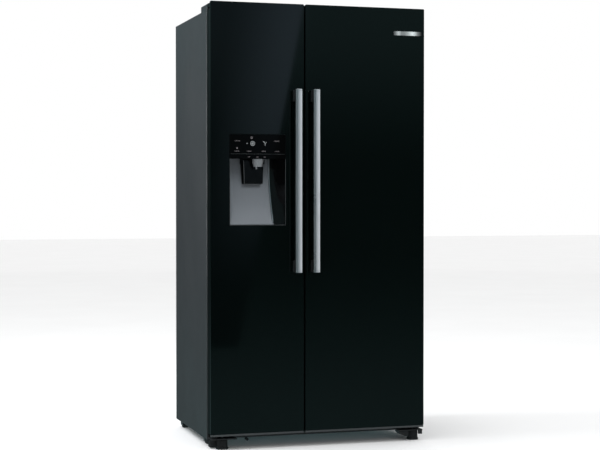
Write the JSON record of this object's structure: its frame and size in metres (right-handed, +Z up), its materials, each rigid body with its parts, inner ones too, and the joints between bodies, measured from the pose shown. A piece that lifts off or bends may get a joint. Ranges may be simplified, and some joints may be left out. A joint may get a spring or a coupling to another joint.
{
  "type": "side by side refrigerator",
  "caption": "Tall two-door refrigerator and freezer side by side, black glass doors, upright bar handles and a dispenser niche in the narrower door.",
  "frame": {"origin": "on the floor, under the middle of the overall box, handles included", "axes": "+X right as seen from the front, +Y towards the back, +Z up; the doors face -Y"},
  "size_m": [0.908, 0.707, 1.787],
  "materials": {
    "painted_steel": "satin grey enamel on sheet steel",
    "black_glass": "near-black tinted toughened glass with a teal cast, opaque backing, high gloss",
    "brushed_aluminium": "satin anodised, fine lengthwise grain",
    "silver_moulding": "silver-grey painted plastic, satin",
    "white_liner": "white vacuum-formed plastic, satin",
    "clear_tray": "clear to frosted plastic",
    "shelf_glass": "toughened clear glass in a pale plastic frame",
    "black_plastic": "moulded black plastic, fine grain",
    "gasket": "grey soft magnetic seal",
    "zinc_steel": "zinc-plated sheet steel",
    "copper": "copper tube, lightly tarnished",
    "foam": "rigid foam, never visible"
  },
  "bodies": {
    "cabinet": {"side_panel_left": "painted_steel", "side_panel_right": "painted_steel", "top_panel": "painted_steel", "back_panel": "zinc_steel", "base_pan": "zinc_steel", "front_base_rail": "painted_steel", "machine_compartment_cover": "zinc_steel", "power_inlet": "black_plastic", "water_line_coupling": "white_liner", "centre_mullion": "painted_steel", "insulation_foam": "foam", "freezer_liner": "white_liner", "fridge_liner": "white_liner", "freezer_air_duct": "white_liner", "fridge_air_duct": "white_liner", "evaporator": "zinc_steel", "freezer_shelf_upper": "shelf_glass", "freezer_shelf_lower": "shelf_glass", "fridge_shelf_upper": "shelf_glass", "fridge_shelf_lower": "shelf_glass", "crisper_cover_shelf": "shelf_glass", "upper_hinge_left": "zinc_steel", "upper_hinge_right": "zinc_steel", "hinge_cover_left": "painted_steel", "hinge_cover_right": "painted_steel", "lower_hinge_left": "black_plastic", "lower_hinge_right": "black_plastic", "compressor": "black_plastic", "condenser": "copper", "ice_maker": "white_liner"},
    "condenser_fan": {"condenser_fan": "black_plastic"},
    "front_roller_left": {"roller_front_left": "black_plastic"},
    "front_roller_right": {"roller_front_right": "black_plastic"},
    "rear_roller_left": {"roller_rear_left": "black_plastic"},
    "rear_roller_right": {"roller_rear_right": "black_plastic"},
    "foot_left": {"levelling_foot_left": "black_plastic"},
    "foot_right": {"levelling_foot_right": "black_plastic"},
    "freezer_drawer_lower": {"freezer_drawer_lower": "clear_tray"},
    "freezer_drawer_upper": {"freezer_drawer_upper": "clear_tray"},
    "crisper_drawer_lower": {"crisper_drawer_lower": "clear_tray"},
    "crisper_drawer_upper": {"crisper_drawer_upper": "clear_tray"},
    "ice_bucket": {"ice_bucket": "clear_tray"},
    "freezer_door": {"freezer_door_shell": "painted_steel", "freezer_door_glass": "black_glass", "freezer_door_liner": "white_liner", "freezer_door_gasket": "gasket", "freezer_handle": "brushed_aluminium", "dispenser_housing": "silver_moulding", "dispenser_control_panel": "black_glass", "dispenser_nozzle": "silver_moulding", "freezer_door_bin": "clear_tray"},
    "fridge_door": {"fridge_door_shell": "painted_steel", "fridge_door_glass": "black_glass", "fridge_door_liner": "white_liner", "fridge_door_gasket": "gasket", "fridge_handle": "brushed_aluminium", "fridge_door_bin": "clear_tray", "dairy_box": "clear_tray"},
    "dispenser_paddle": {"dispenser_paddle": "black_plastic"},
    "dairy_lid": {"dairy_lid": "clear_tray"}
  },
  "joints": [
    {"name": "freezer_door_hinge", "type": "hinge", "parent": "cabinet", "child": "freezer_door", "pos_m": [-0.432, -0.2825, 0.06], "axis": [0, 0, -1], "range_deg": [0, 120]},
    {"name": "fridge_door_hinge", "type": "hinge", "parent": "cabinet", "child": "fridge_door", "pos_m": [0.432, -0.2825, 0.06], "axis": [0, 0, 1], "range_deg": [0, 120]},
    {"name": "dispenser_paddle_pivot", "type": "hinge", "parent": "freezer_door", "child": "dispenser_paddle", "pos_m": [-0.265, -0.25, 1.154], "axis": [1, 0, 0], "range_deg": [0, 4], "stiffness_Nm_per_rad": 0.25, "springref_deg": -6.88},
    {"name": "dairy_lid_pivot", "type": "hinge", "parent": "fridge_door", "child": "dairy_lid", "pos_m": [0.183, -0.1905, 1.567], "axis": [1, 0, 0], "range_deg": [0, 80]},
    {"name": "freezer_drawer_lower_slide", "type": "slide", "parent": "cabinet", "child": "freezer_drawer_lower", "axis": [0, -1, 0], "range_m": [0, 0.08]},
    {"name": "freezer_drawer_upper_slide", "type": "slide", "parent": "cabinet", "child": "freezer_drawer_upper", "axis": [0, -1, 0], "range_m": [0, 0.08]},
    {"name": "crisper_drawer_lower_slide", "type": "slide", "parent": "cabinet", "child": "crisper_drawer_lower", "axis": [0, -1, 0], "range_m": [0, 0.08]},
    {"name": "crisper_drawer_upper_slide", "type": "slide", "parent": "cabinet", "child": "crisper_drawer_upper", "axis": [0, -1, 0], "range_m": [0, 0.08]},
    {"name": "ice_bucket_slide", "type": "slide", "parent": "cabinet", "child": "ice_bucket", "axis": [0, -1, 0], "range_m": [0, 0.055]},
    {"name": "foot_left_screw", "type": "slide", "parent": "cabinet", "child": "foot_left", "axis": [0, 0, -1], "range_m": [0, 0.015]},
    {"name": "foot_right_screw", "type": "slide", "parent": "cabinet", "child": "foot_right", "axis": [0, 0, -1], "range_m": [0, 0.015]},
    {"name": "front_roller_left_axle", "type": "hinge", "parent": "cabinet", "child": "front_roller_left", "pos_m": [-0.42, -0.113, 0.0185], "axis": [1, 0, 0], "continuous": true},
    {"name": "front_roller_right_axle", "type": "hinge", "parent": "cabinet", "child": "front_roller_right", "pos_m": [0.42, -0.113, 0.0185], "axis": [1, 0, 0], "continuous": true},
    {"name": "rear_roller_left_axle", "type": "hinge", "parent": "cabinet", "child": "rear_roller_left", "pos_m": [-0.422, 0.315, 0.0215], "axis": [1, 0, 0], "continuous": true},
    {"name": "rear_roller_right_axle", "type": "hinge", "parent": "cabinet", "child": "rear_roller_right", "pos_m": [0.422, 0.315, 0.0215], "axis": [1, 0, 0], "continuous": true},
    {"name": "condenser_fan_spin", "type": "hinge", "parent": "cabinet", "child": "condenser_fan", "pos_m": [0.09, 0.235, 0.118], "axis": [1, 0, 0], "continuous": true}
  ]
}
